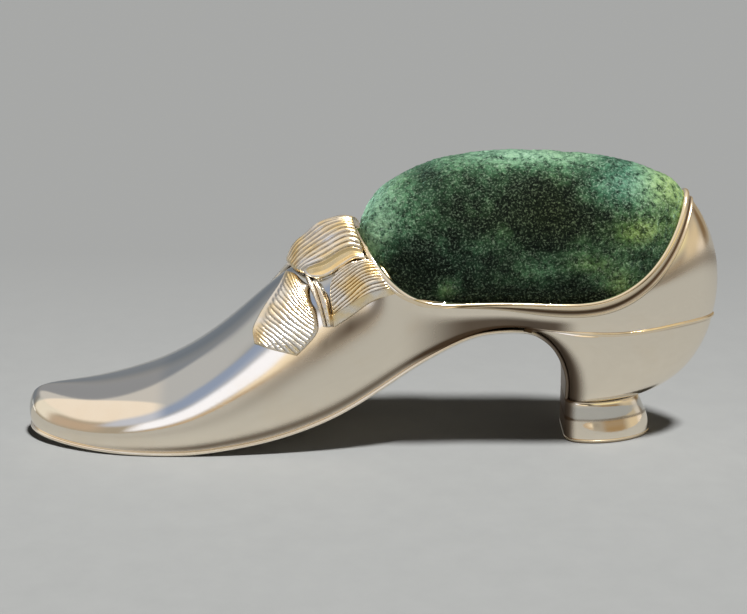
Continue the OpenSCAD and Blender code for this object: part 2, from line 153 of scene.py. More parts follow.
def bezier(a, b, c, d, v):
    """Cubic Bezier curve from a to d, with v from 0 to 1."""
    v = np.asarray(v, float)[..., None]
    return (1 - v) ** 3 * a + 3 * (1 - v) ** 2 * v * b + 3 * (1 - v) * v ** 2 * c + v ** 3 * d


def unit(a):
    """Vectors brought to length 1."""
    return a / np.maximum(np.linalg.norm(a, axis=-1, keepdims=True), 1e-9)


def smooth_step(x, low, high):
    """0 below low and 1 above high, with an eased climb between."""
    t = np.clip((x - low) / (high - low), 0, 1)
    return t * t * (3 - 2 * t)


RAILS = [closed_row(RIBS[:, k]) for k in range(4)]


def upper_at(u, v):
    """Point of the upper on the right side, at rib u and height v along the rib."""
    return bezier(*(spline(rail, u) for rail in RAILS), v)


def upper_normal(u, v, top=TOP_V):
    """Outward normal of the upper, taken a little inside its edges."""
    e = 0.004
    u, v = np.broadcast_arrays(np.asarray(u, float), np.asarray(v, float))
    a = np.clip(u, e, LAST_U - e)
    b = np.clip(v, e, top - e)
    n = np.cross(upper_at(a, b + e) - upper_at(a, b - e), upper_at(a + e, b) - upper_at(a - e, b))
    flat = ((v >= 1) & (u <= RIM_U)) | (u <= 0) | (u >= LAST_U)
    n[..., 1] = np.where(flat, 0, n[..., 1])
    return unit(n)


def off_upper(u, v, height):
    """Point at a height above the upper, kept on its own side of Y = 0."""
    u, v, height = np.broadcast_arrays(*(np.asarray(a, float) for a in (u, v, height)))
    p = upper_at(u, v) + height[..., None] * upper_normal(u, v)
    p[..., 1] = np.maximum(p[..., 1], 0)
    return p


# ---- meshes ----

def grid_faces(m, n, wrap_m=False, wrap_n=False):
    """Quads of a grid of m rows and n columns of points."""
    rows = np.arange(m if wrap_m else m - 1)
    cols = np.arange(n if wrap_n else n - 1)
    i, j = (a.ravel() for a in np.meshgrid(rows, cols, indexing="ij"))
    k, l = (i + 1) % m, (j + 1) % n
    return np.stack([i * n + j, k * n + j, k * n + l, i * n + l], 1).tolist()


def add_object(name, data):
    """A new object in the scene."""
    obj = bpy.data.objects.new(name, data)
    bpy.context.scene.collection.objects.link(obj)
    return obj


def new_piece(name, points, faces, material, normals=None, sharp=50):
    """A mesh from points in millimetres; normals give smooth shading where faces agree."""
    points = np.asarray(points, float) + [MIDDLE_X, 0, 0]
    mesh = bpy.data.meshes.new(name)
    mesh.from_pydata((points / METRE).tolist(), [], faces)
    bm = bmesh.new()
    bm.from_mesh(mesh)
    bmesh.ops.recalc_face_normals(bm, faces=bm.faces[:])
    bm.to_mesh(mesh)
    bm.free()
    mesh.shade_smooth()
    mesh.set_sharp_from_angle(angle=math.radians(sharp))
    if normals is not None:
        give_normals(mesh, normals)
    mesh.materials.append(material)
    return add_object(name, mesh)


def give_normals(mesh, normals):
    """Sets each corner's normal from its point, where the face lies along that normal."""
    custom = []
    for poly in mesh.polygons:
        for k in poly.vertices:
            n = Vector(normals[k])
            custom.append(tuple(n) if n.dot(poly.normal) > 0.8 else (0.0, 0.0, 0.0))
    mesh.normals_split_custom_set(custom)


def sheet_mesh(outer, inner):
    """Points and faces of a closed sheet between two grids of the same size."""
    m, n = outer.shape[:2]
    points = np.concatenate([outer.reshape(-1, 3), inner.reshape(-1, 3)])
    top = grid_faces(m, n)
    faces = [f[::-1] for f in top] + [[k + m * n for k in f] for f in top]
    ring = ([i * n for i in range(m - 1)] + [(m - 1) * n + j for j in range(n - 1)]
            + [i * n + n - 1 for i in range(m - 1, 0, -1)] + list(range(n - 1, 0, -1)))
    for a, b in zip(ring, ring[1:] + ring[:1]):
        faces.append([a, b, b + m * n, a + m * n])
    return points, faces


def capped_mesh(rings):
    """Points and faces of a solid through closed rings, closed by a fan at both ends."""
    m, n = rings.shape[:2]
    points = np.concatenate([rings.reshape(-1, 3), [rings[0].mean(0)], [rings[-1].mean(0)]])
    faces = grid_faces(m, n, wrap_n=True)
    for j in range(n):
        k = (j + 1) % n
        faces.append([m * n, k, j])
        faces.append([m * n + 1, (m - 1) * n + j, (m - 1) * n + k])
    return points, faces


def on_side(points, side):
    """Right side for +1, its mirror image for -1."""
    return points if side > 0 else points * MIRROR


SIDES = {"left": -1, "right": 1}


# ---- materials ----

class Graph:
    """Nodes of a material or of the world, with short ways to add to them.

    A value is a number, a colour as a tuple, a vector as a list, or another node's output.
    """

    def __init__(self, tree):
        self.nodes, self.links = tree.nodes, tree.links

    def feed(self, inputs, values):
        """Sets or links each input that is named."""
        for key, given in values.items():
            if hasattr(given, "links"):
                self.links.new(given, inputs[key])
            else:
                inputs[key].default_value = (*given, 1) if isinstance(given, tuple) else given

    def shade(self, values):
        self.feed(self.nodes["Principled BSDF"].inputs, values)

    def add(self, kind, output, values, **settings):
        """One output of a new node."""
        node = self.nodes.new("ShaderNode" + kind)
        for key, value in settings.items():
            setattr(node, key, value)
        self.feed(node.inputs, values)
        return node.outputs[output]

    def coords(self):
        return self.add("TexCoord", "Object", {})

    def mark(self, name):
        """Number that mark() left on the mesh, or 0 where it left none."""
        return self.add("Attribute", "Fac", {}, attribute_name=name)

    def noise(self, coords, scale, detail=3, roughness=0.5, stretch=None):
        """Noise from 0 to 1; stretch is a rotation and a scale for the coordinates."""
        if stretch:
            turned = {"Vector": coords, "Rotation": stretch[0], "Scale": stretch[1]}
            coords = self.add("Mapping", "Vector", turned)
        return self.add("TexNoise", "Fac", {"Vector": coords, "Scale": scale,
                                            "Detail": detail, "Roughness": roughness})

    def span(self, value, low, high, to_low=0.0, to_high=1.0, ease="LINEAR"):
        """Carries low to high over to to_low to to_high, and holds still outside them."""
        return self.add("MapRange", "Result", {
            "Value": value, "From Min": low, "From Max": high,
            "To Min": to_low, "To Max": to_high}, interpolation_type=ease)

    def mix(self, factor, a, b, blend="MIX"):
        return self.add("Mix", "Result", {"Factor": factor, "A": a, "B": b},
                        data_type="RGBA", blend_type=blend)

    def math(self, operation, a, b=0.0):
        return self.add("Math", "Value", {0: a, 1: b}, operation=operation)

    def bump(self, height, strength, distance, before=None):
        """Bump from a height, on top of an earlier bump if one is given."""
        values = {"Height": height, "Strength": strength, "Distance": distance}
        if before:
            values["Normal"] = before
        return self.add("Bump", "Normal", values)


def node_material(name):
    material = bpy.data.materials.new(name)
    material.use_nodes = True
    return material, Graph(material.node_tree)


# Dark brown for patina and for painted shade, much of it painted reflections of shadow
SHADE_AND_PATINA = (0.10, 0.058, 0.028)
DULLED = 0.4                    # how much rougher and less metallic the patina and painted shade make the silver
TARNISH = 0.25                  # most that a stain warms the silver
WARMED = (0.93, 0.82, 0.66)     # a stain's share of the silver's colour
REFLECTION_SHARE = (0.52, 0.60, 0.72)     # the painted grey reflection's share of it


def shaded(tint, shares):
    return tuple(t * k for t, k in zip(tint, shares))


def silver(name, tint, rough_low, rough_high, wave=0.12):
    """Hand-polished silver: slow waves, fine scratches, faint stains, a painted grey reflection,
    and patina that also carries painted shade.
    """
    material, g = node_material(name)
    coords = g.coords()
    stain = g.span(g.noise(coords, 90, 4, 0.6), 0.5, 0.78, 0, TARNISH)
    tone = g.mix(stain, tint, shaded(tint, WARMED))
    # Painted reflection: the marked places are dimmed to a bluish grey
    tone = g.mix(g.mark("painted_reflection"), tone, shaded(tint, REFLECTION_SHARE))
    # Patina and painted shade: most marked places stand for shadow reflected in the silver or
    # shade under parts
    patina_and_shade = g.mark("patina_and_shade")
    dull = g.math("MULTIPLY", patina_and_shade, DULLED)
    smear = g.noise(coords, 260, 5, 0.65, ([0.3, 0.2, 0.5], [1, 1, 3]))
    rough = g.span(smear, 0.3, 0.75, rough_low, rough_high)
    normal = g.bump(g.noise(coords, 55, 2, 0.4), wave, 0.0012)
    for stretch in (([0.2, 0.5, 0.4], [1, 14, 14]), ([0.9, 0.1, 1.3], [14, 1, 14])):
        scratches = g.span(g.noise(coords, 420, 3, 0.7, stretch), 0.62, 0.72)
        normal = g.bump(scratches, 0.05, 0.00004, normal)
    g.shade({"Base Color": g.mix(patina_and_shade, tone, SHADE_AND_PATINA), "Roughness": g.math("ADD", rough, dull),
             "Metallic": g.math("SUBTRACT", 1.0, dull), "Normal": normal})
    return material


def chased_silver():
    """Silver of the bow: tarnish in the grooves that the mesh marks, painted shade on the leaves'
    undersides, gilding in patches.
    """
    material, g = node_material("bow_silver")
    coords = g.coords()
    clouds = g.noise(coords, 420, 4, 0.6)
    darkness = g.math("MULTIPLY", g.mark("depth"), g.span(clouds, 0.3, 0.7, 0.6, 1.0))
    gilt = g.span(g.noise(coords, 190, 3, 0.5), 0.40, 0.62)
    gilt = g.math("ADD", gilt, g.mark("gilt"))
    bright = g.mix(gilt, (0.95, 0.90, 0.82), (1.0, 0.78, 0.42))
    g.shade({"Base Color": g.mix(darkness, bright, (0.10, 0.058, 0.03)), "Metallic": 1.0,
             "Roughness": g.span(clouds, 0.3, 0.7, 0.16, 0.34),
             "Normal": g.bump(g.noise(coords, 1500, 3, 0.6), 0.25, 0.00006)})
    return material


def velvet():
    """Crushed silk velvet: dark where the pile is seen end on, pale where it lies over, with
    painted sheen and painted shade laid in by the same mark.
    """
    material, g = node_material("green_velvet")
    coords = g.coords()
    tuft = g.noise(coords, 900, 4, 0.7)
    speck = g.noise(coords, 2600, 3, 0.65)
    pile_and_painted_light, warmth = g.mark("pile_and_painted_light"), g.mark("warmth")
    deep = g.mix(warmth, (0.0015, 0.0075, 0.0055), (0.006, 0.009, 0.003))
    lit = g.mix(warmth, (0.085, 0.290, 0.215), (0.150, 0.270, 0.065))
    pale = g.mix(warmth, (0.36, 0.62, 0.49), (0.44, 0.58, 0.20))
    fleck = g.mix(warmth, (0.44, 0.68, 0.58), (0.46, 0.60, 0.30))
    # Painted sheen and shade: the mark mixes the dark pile with the lit one
    tone = g.mix(pile_and_painted_light, deep, lit)
    tone = g.mix(1.0, tone, g.span(tuft, 0.38, 0.66, 0.25, 1.9), "MULTIPLY")
    over = g.math("MULTIPLY", g.span(pile_and_painted_light, 0.45, 1.0), g.span(tuft, 0.38, 0.60, 0.0, 0.95))
    glint = g.math("MULTIPLY", g.span(speck, 0.52, 0.68), g.span(pile_and_painted_light, 0, 1, 0.30, 1.0))
    g.shade({"Base Color": g.mix(glint, g.mix(over, tone, pale), fleck),
             "Roughness": 0.9, "Specular IOR Level": 0.1, "Sheen Weight": 1.0,
             "Sheen Roughness": 0.36, "Sheen Tint": (0.50, 0.92, 0.70),
             "Normal": g.bump(speck, 0.9, 0.0002, g.bump(tuft, 0.6, 0.0005))})
    return material


def plain(name, low, high, scale, roughness, bump=0.3):
    """Dull material with two colours in a noise: board, wool, thread and pitch."""
    material, g = node_material(name)
    grain = g.noise(g.coords(), scale, 5, 0.65)
    g.shade({"Base Color": g.mix(g.span(grain, 0.3, 0.7), low, high),
             "Roughness": roughness, "Normal": g.bump(grain, bump, 0.0002)})
    return material


body_silver = silver("body_silver", (0.955, 0.865, 0.725), 0.045, 0.11)
rim_silver = silver("rim_silver", (0.95, 0.81, 0.60), 0.07, 0.16, wave=0.05)
bow_metal = chased_silver()
green_velvet = velvet()


# ---- silver body ----

def mark(piece, name, values):
    """Puts a number on every point of a piece, for its material to read."""
    layer = piece.data.attributes.new(name, "FLOAT", "POINT")
    layer.data.foreach_set("value", np.asarray(values, np.float32))


def bell(x, middle, reach):
    """Smooth hump, 1 at the middle and 1/e at the reach."""
    return np.exp(-((x - middle) / reach) ** 2)


TOE_REFLECTION = 0.75                 # strength of the painted reflection on the toe, where the vamp's is 1
TOE_REFLECTION_START = (-61.3, 3.8)   # length at the toe, and the painted reflection's half width there
TOE_REFLECTION_SPREAD = 0.335         # how fast it widens along the toe
VAMP_REFLECTION_RISE = (0.33, 0.45)   # upward tilt of the surface where the vamp's painted reflection sets in
REFLECTION_CHANGE = (-40.5, -37.0)    # lengths where the toe's painted reflection gives way to the vamp's
REFLECTION_END = (0, 6)

# Streak of painted dark reflection up to the bow: surface tilt it follows, and its strength,
# against length
STREAK_TILT = ((-26, -4), (0.09, 0.19))
STREAK_REACH = 0.065
STREAK_STRENGTH = ((-50, -26, -12, -4, 2), (0, 0.2, 0.5, 0.9, 0.6))


def shell_painted_reflection(points, normals):
    """Painted reflection of grey surroundings, dimming the silver on the top of the toe and over
    the vamp.
    """
    x, y = points[:, 0], np.abs(points[:, 1])
    half_width = TOE_REFLECTION_START[1] + TOE_REFLECTION_SPREAD * (x - TOE_REFLECTION_START[0])
    toe = TOE_REFLECTION * smooth_step(half_width - y, -0.2, 0.2)
    vamp = smooth_step(normals[:, 2], *VAMP_REFLECTION_RISE)
    back = smooth_step(x, *REFLECTION_CHANGE)
    return (toe * (1 - back) + vamp * back) * (1 - smooth_step(x, *REFLECTION_END))


def shell_patina_and_shade(points, normals, v):
    """Brown marks: a painted dark reflection streaking up to the bow, the painted reflection of
    the shadow under the arch in the hollow at the waist, and a dark line along the welt.
    """
    x = points[:, 0]
    streak = bell(normals[:, 2], np.interp(x, *STREAK_TILT), STREAK_REACH)
    streak *= np.interp(x, *STREAK_STRENGTH)
    # Painted reflection of the shadow under the arch, at the waist
    waist = smooth_step(x, 4, 18) * (1 - smooth_step(x, 33, 38))
    waist *= 1 - smooth_step(v, 0.24, 0.48)
    # Dark line along the joint above the welt
    welt = smooth_step(x, -58, -30) * (1 - smooth_step(x, 24, 30))
    welt *= bell(v, 0.03, 0.026)
    return np.clip(streak + 0.9 * waist + 0.85 * welt, 0, 1)


def sheet_normals(points, outer_normals, side):
    """Normals for a sheet's points: its outer face gets the given ones, the rest none."""
    normals = np.zeros_like(points)
    given = on_side(outer_normals, side).reshape(-1, 3)
    normals[:len(given)] = given
    return normals


def make_shell(side_name, side):
    """Half of the stamped upper, from the toe to the back of the heel."""
    u = np.linspace(0, LAST_U, LAST_U * 12 + 1)[:, None]
    v = np.linspace(0, 1, 97)[None, :]
    outer = upper_at(*np.broadcast_arrays(u, v))
    inner = off_upper(u, v, -SHEET)
    points, faces = sheet_mesh(on_side(outer, side), on_side(inner, side))
    normals = sheet_normals(points, upper_normal(u, v, 1.0), side)
    shell = new_piece(f"shell_{side_name}", points, faces, body_silver, normals)
    # Painted reflection on the top of the toe and on the vamp where it tilts up
    mark(shell, "painted_reflection", shell_painted_reflection(points, normals))
    # Brown marks: painted dark reflections towards the bow and at the waist, and a dark line at
    # the welt
    mark(shell, "patina_and_shade", shell_patina_and_shade(points, normals, np.tile(v.ravel(), 2 * len(u))))
    finish_piece(shell, "shoe", "silver", f"upper_{side_name}")


def finish_piece(piece, body, slot, *nodes):
    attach(piece, body)
    if nodes:
        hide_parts(*nodes)


SOLE_RAIL = closed_row(np.concatenate([RIBS[:SOLE_U + 1, 0], BREAST]))
SOLE_END = SOLE_U + len(BREAST) - 1


def make_sole():
    """Sole plate with a rounded welt, from the toe over the shank to the foot of the breast."""
    u = np.linspace(0.06, SOLE_END, SOLE_END * 8 + 1)
    e = 0.02
    p = spline(SOLE_RAIL, u)
    d = spline(SOLE_RAIL, np.minimum(u + e, SOLE_END)) - spline(SOLE_RAIL, np.maximum(u - e, 0))
    down = unit(np.stack([d[:, 2], 0 * u, -d[:, 0]], 1))
    side = unit(np.stack([-d[:, 1], d[:, 0], 0 * u], 1))
    turn = smooth_step(u, SOLE_U - 2, SOLE_U + 1)[:, None]
    out = unit(side * (1 - turn) + np.array([0, 1, 0]) * turn)
    half_width = p[:, 1:2]
    angles = np.radians(np.linspace(90, -90, 9))
    section = [(-0.9, 0.0), (-0.35, 0.0)]
    section += [(WELT * max(math.cos(a), 0) ** 0.7, 0.5 * (1 - math.sin(a))) for a in angles]
    section += [(-0.35, 1.0), (-0.9, 1.0)]
    half = [p + np.maximum(q, -half_width * 0.6) * out + r * SOLE_T * down for q, r in section]
    half = np.stack(half, 1)
    rings = np.concatenate([half, half[:, ::-1] * MIRROR], 1)
    points, faces = capped_mesh(rings)
    piece = new_piece("sole", points, faces, body_silver, sharp=60)
    # Painted reflection of the shadow under the arch, darkening the sole at the foot of the
    # breast
    mark(piece, "patina_and_shade", 0.85 * smooth_step(points[:, 0], 26, 33))
    finish_piece(piece, "shoe", "silver", "sole_plate")


def level_at(level, t):
    """Half outline at one level, with t from 0 at the front to 1 at the back."""
    front, back, low_w, full_w, z = (level[..., k, None] for k in range(5))
    length = back - front

    def point(x, y):
        return np.concatenate([x, y, z], -1)

    p = bezier(point(front, low_w), point(front + 0.38 * length, 1.38 * full_w),
               point(back, 0.64 * full_w), point(back, 0 * full_w), t)
    left = 1 - np.clip((p[:, 0] - front[:, 0]) / CORNER[0], 0, 1)
    p[:, 1] -= CORNER[1] * (1 - np.sqrt(1 - left ** 2))
    return p


def corner_spread(count):
    """Places along an outline, closest together at its rounded front corner."""
    return np.linspace(0, 1, count) ** 1.6


def heel_points(t, s):
    """Heel wall; t runs round from the breast to the back, s down from the seam to the foot."""
    seam = spline(RAILS[0], BREAST_U + t * (LAST_U - BREAST_U))[None]
    levels = np.stack([level_at(np.broadcast_to(row, (len(t), 5)), t) for row in HEEL_LEVELS])
    rows = np.concatenate([seam, levels])
    rows = np.concatenate([[2 * rows[0] - rows[1]], rows, [2 * rows[-1] - rows[-2]]])
    return np.stack([spline(rows[:, k], s) for k in range(len(t))])


def make_heel(side_name, side):
    """Half of the hollow heel, from the seam down to its foot."""
    t = corner_spread(73)
    s = np.linspace(0, len(HEEL_LEVELS), 73)
    outer = heel_points(t, s)
    along = np.gradient(outer, axis=0)
    across = np.gradient(outer, axis=1)
    n = unit(np.cross(across, along))
    n *= np.sign((n * (outer - HEEL_MIDDLE)).sum(-1, keepdims=True))
    n[-1, :, 1] = 0
    n = unit(n)
    inner = outer - SHEET * n
    inner[..., 1] = np.maximum(inner[..., 1], 0)
    points, faces = sheet_mesh(on_side(outer, side), on_side(inner, side))
    normals = sheet_normals(points, n, side)
    piece = new_piece(f"heel_wall_{side_name}", points, faces, body_silver, normals)
    behind = outer[..., 0] - outer[:1, :, 0]
    # Painted reflection of the shadow under the arch, on the rounded corner beside the breast
    breast = 1 - smooth_step(behind, 0.9, 3.4)
    # Dark line under the seam bead: painted shade under the bead, along the joint
    under_seam = 0.8 * bell(s, 0.16, 0.13)[None, :]
    breast_and_seam_shade = np.clip(0.92 * breast + under_seam, 0, 1).ravel()
    mark(piece, "patina_and_shade", np.concatenate([breast_and_seam_shade, breast_and_seam_shade]))
    finish_piece(piece, "shoe", "silver", f"heel_{side_name}")


BEAD_OUT, BEAD_UP = 0.36, 0.42      # the seam bead's reach outwards and up or down


def make_seam():
    """Half-round bead of solder where the heel meets the upper, all round the back."""
    u = np.linspace(BREAST_U + 0.5, LAST_U, 120)
    path = spline(RAILS[0], u)
    n = upper_normal(u, 0.02)
    along = unit(np.gradient(path, axis=0))
    along[-1] = [0, -1, 0]
    up = unit(np.cross(along, n))
    grow = smooth_step(u, BREAST_U + 0.4, BREAST_U + 2)[:, None]
    rings = []
    for angle in np.radians(np.arange(0, 360, 30)):
        rings.append(path + n * (0.02 + BEAD_OUT * grow * math.cos(angle))
                     + up * BEAD_UP * grow * math.sin(angle))
    right = np.stack(rings, 1)
    whole = np.concatenate([right, right[-2::-1] * MIRROR])
    points, faces = capped_mesh(whole)
    piece = new_piece("heel_seam", points, faces, rim_silver)
    finish_piece(piece, "shoe", "silver")


def level_ring(level, steps=48):
    """Whole outline of the heel or its foot at one level."""
    right = level_at(np.broadcast_to(level, (steps, 5)), corner_spread(steps))
    return np.concatenate([right * MIRROR, right[-2::-1]])


def make_foot():
    """Cast foot: a hollow neck, then a flare down to an upright band."""
    rows = np.concatenate([[2 * FOOT_LEVELS[0] - FOOT_LEVELS[1]], FOOT_LEVELS,
                           [2 * FOOT_LEVELS[-1] - FOOT_LEVELS[-2]]])
    levels = spline(rows, np.linspace(0, len(FOOT_LEVELS) - 1, 57))
    rings = np.stack([level_ring(level) for level in levels])
    points, faces = capped_mesh(rings)
    piece = new_piece("foot", points, faces, body_silver, sharp=40)
    x, z = points[:, 0] - FOOT_X, points[:, 2]
    band = FOOT_LEVELS[5, 4]
    # Painted reflection: the upright wall above the band is dimmed to grey
    wall = smooth_step(z, band, band + 0.4) * (1 - smooth_step(z, 6.6, 7.4))
    # Dark lines: painted shade in the gap where the heel meets the foot, and a line at the top of
    # the band
    lines = 0.55 * bell(z, band + 0.15, 0.22) + 0.7 * bell(z, FOOT_H, 0.25)
    mark(piece, "painted_reflection", 0.55 * wall)
    # The front face beside the breast gets painted shade, the reflection of the shadow under the
    # arch
    mark(piece, "patina_and_shade", np.clip(lines + 0.9 * (1 - smooth_step(x, 0.7, 2.2)), 0, 1))
    finish_piece(piece, "shoe", "silver", "heel_foot")


def make_tip():
    """Flat plate under the foot, with its edges eased."""
    top = TIP_BOX[1].z * METRE
    ease = 0.22
    steps = ((ease, 0.0), (0.3 * ease, 0.3 * ease), (0, ease), (0, top - ease), (ease, top))
    rings = []
    for inset, z in steps:
        level = FOOT_LEVELS[-1] + [inset, -inset, -inset, -inset, z - FOOT_LEVELS[-1][4]]
        rings.append(level_ring(level))
    points, faces = capped_mesh(np.stack(rings))
    piece = new_piece("foot_plate", points, faces, rim_silver, sharp=35)
    # Painted contact shadow along the bottom edge of the plate
    mark(piece, "patina_and_shade", 0.85 * (1 - smooth_step(points[:, 2], 0.1, 0.5)))
    finish_piece(piece, "shoe", "silver", "heel_tip_plate")


def arc(middle, radius, start, end, count):
    """Points on an arc, as [height off the surface, depth below the top edge]."""
    return [(middle[0] + radius * math.cos(a), middle[1] - radius * math.sin(a))
            for a in np.radians(np.linspace(start, end, count))]


# Section of the rim from its fine lower bead, over the groove and the full bead, to the inside
RIM_PROFILE = np.array(arc((0.03, 1.9), 0.27, -95, 40, 9) + [(0.09, 1.45), (0.07, 1.15)]
                       + arc((-0.02, 0.3), 0.66, -52, 205, 20) + [(-0.45, 0.95)])


def make_rim():
    """Moulded wire round the opening: a full bead, a groove and a fine lower bead."""
    count = (LAST_U - RIM_U) * 16 + 1
    u = np.linspace(RIM_U, LAST_U, count)
    e = 0.02
    a = np.clip(u, RIM_U + e, LAST_U - e)
    edge = spline(RAILS[3], u)
    along = unit(spline(RAILS[3], a + e) - spline(RAILS[3], a - e))
    along[0] = [0, 1, 0]
    along[-1] = [0, -1, 0]
    out = upper_normal(a, TOP_V)
    out[[0, -1], 1] = 0
    out = unit(out)
    up = unit(np.cross(along, out))
    climb = 3 * np.linalg.norm(edge - spline(RAILS[2], u), axis=1)
    columns = []
    for height, depth in RIM_PROFILE:
        if depth > 0:
            columns.append(off_upper(u, 1 - depth / climb, height))
        else:
            columns.append(edge + height * out - depth * up)
    right = np.stack(columns, 1)
    rings = np.concatenate([right, right[-2:0:-1] * MIRROR])
    m, n = rings.shape[:2]
    faces = grid_faces(m, n, wrap_m=True, wrap_n=True)
    piece = new_piece("rim", rings.reshape(-1, 3), faces, rim_silver, sharp=75)
    depths = RIM_PROFILE[:, 1]
    # Darker in the groove and where the fine lower bead meets the upper
    groove = 1.2 * bell(depths, 1.3, 0.38) + 0.9 * smooth_step(depths, 2.0, 2.12)
    mark(piece, "patina_and_shade", np.tile(np.clip(groove, 0, 1), m))
    finish_piece(piece, "shoe", "silver", "rim_wire")


# ---- bow ----

# Surfaces of the bow's leaves on the right side, as grids of points; a row follows the ribs.
KNOT = np.array([
    [[-16.3, 0, 33.3], [-14.8, 0, 36.6], [-12.6, 0, 38.7], [-10.2, 0, 40.8], [-7.2, 0, 41.9],
     [-4.9, 0, 42.1], [-3.3, 0, 41.8]],
    [[-15.7, 2.5, 33.7], [-13.8, 2.5, 36.4], [-11.2, 2.5, 38.5], [-8.5, 2.5, 40.4],
     [-5.9, 2.5, 41.6], [-4.2, 2.5, 41.6], [-3, 2.5, 41.2]],
    [[-14.6, 5, 33.7], [-12.6, 5, 35.6], [-9.9, 5, 37.5], [-7.1, 5, 39.2], [-4.8, 5, 40.3],
     [-3.2, 5, 40.2], [-2.3, 5, 39.7]],
    [[-13.3, 6.6, 33.6], [-11.5, 6.9, 34.7], [-8.9, 7, 35.7], [-6.4, 7, 37.3], [-4, 7, 38.3],
     [-2.4, 6.9, 38.1], [-1.5, 6.8, 37.6]],
    [[-12.4, 7.2, 33.1], [-10.4, 8.1, 32.6], [-8.2, 8.4, 33.3], [-5.7, 8.4, 35.1],
     [-3.5, 8.2, 36.5], [-1.7, 8, 36.7], [-0.6, 7.9, 36.3]],
], float)
LOOP = np.array([
    [[-5.9, 7.9, 35.1], [-3.6, 7.9, 36.1], [-1.2, 7.6, 36.4], [1.2, 7.9, 36]],
    [[-7.6, 9.6, 32.6], [-4.7, 9.4, 34.3], [-1.4, 9, 35.6], [2.2, 9.2, 35.3]],
    [[-7.8, 10.6, 30.8], [-4.5, 10.4, 32.7], [-1, 10.1, 34.4], [3.1, 10.1, 34.2]],
    [[-7.6, 11.4, 29.1], [-4.3, 11.1, 31.1], [-0.6, 10.8, 33.1], [3.8, 10.9, 33.1]],
    [[-7.2, 12, 27.2], [-4, 11.7, 29.2], [-0.3, 11.4, 31.3], [4.4, 11.4, 32.1]],
    [[-7.1, 11.9, 26], [-3.7, 11.6, 28.2], [0.3, 11.4, 30.6], [4.8, 11.5, 31.5]],
    [[-6.9, 10.9, 23.6], [-3.5, 10.5, 25.8], [0.3, 10.4, 28.6], [4.9, 11.2, 30.6]],
], float)
TAIL = np.array([
    [[-16.1, 2.6, 32.9], [-14.3, 5.2, 32.8], [-12.5, 7.9, 31.3]],
    [[-17.5, 4.8, 30.7], [-14.6, 7.6, 30.3], [-11.4, 10, 28.4]],
    [[-19.4, 6.3, 28.2], [-15.2, 9.1, 27.8], [-10.2, 11, 26.1]],
    [[-21.1, 7.7, 25.6], [-16, 10.5, 25], [-10, 11.8, 23.9]],
    [[-22, 9.1, 23.5], [-17.2, 11.3, 22.7], [-11.5, 12.3, 21.6]],
    [[-21.6, 10.6, 21.2], [-18.3, 11.9, 20.3], [-13.7, 12.5, 19.2]],
], float)
FOLDS = np.array([
    [[-12.6, 6.6, 33.5], [-11.6, 8.8, 31.4], [-9.9, 11.1, 27.8], [-9, 12.2, 24.8]],
    [[-11.1, 8.1, 32.5], [-10.3, 9.3, 31.2], [-9.1, 11.2, 28], [-8.2, 12.3, 24.7]],
    [[-9.5, 8.7, 32.3], [-8.7, 10, 30.8], [-7.6, 11.3, 28.2], [-7.1, 12.3, 24.8]],
], float)


def through(row, t):
    """Smooth curve through the points of a row; t runs from 0 to 1."""
    row = np.concatenate([[2 * row[0] - row[1]], row, [2 * row[-1] - row[-2]]])
    x = np.asarray(t, float) * (len(row) - 3)
    i = np.minimum(x.astype(int), len(row) - 4)
    f = (x - i).reshape((-1,) + (1,) * (row.ndim - 1))
    a, b, c, d = (row[i + k] for k in range(4))
    return b + 0.5 * f * (c - a + f * (2 * a - 5 * b + 4 * c - d + f * (3 * (b - c) + d - a)))


def patch(grid, s, t):
    """Points of a grid's smooth surface at rows s and columns t."""
    rows = through(grid, s)
    return through(np.swapaxes(rows, 0, 1), t).swapaxes(0, 1)


def wander(count, seed, scale, spread):
    """Slowly varying numbers round 0, the same on every run."""
    places = (Vector((k * scale, seed * 3.7, 0.5)) for k in range(count))
    return np.array([spread * noise.noise(place) for place in places])


def ribbed(count, s, seed):
    """Height from 0 in a groove to 1 on a rib, for count ribs of uneven width across s."""
    bends = wander(len(s), seed, 0.11, 0.16)
    wave = np.abs(np.sin(math.pi * (s * count + bends)))
    return wave ** 0.55


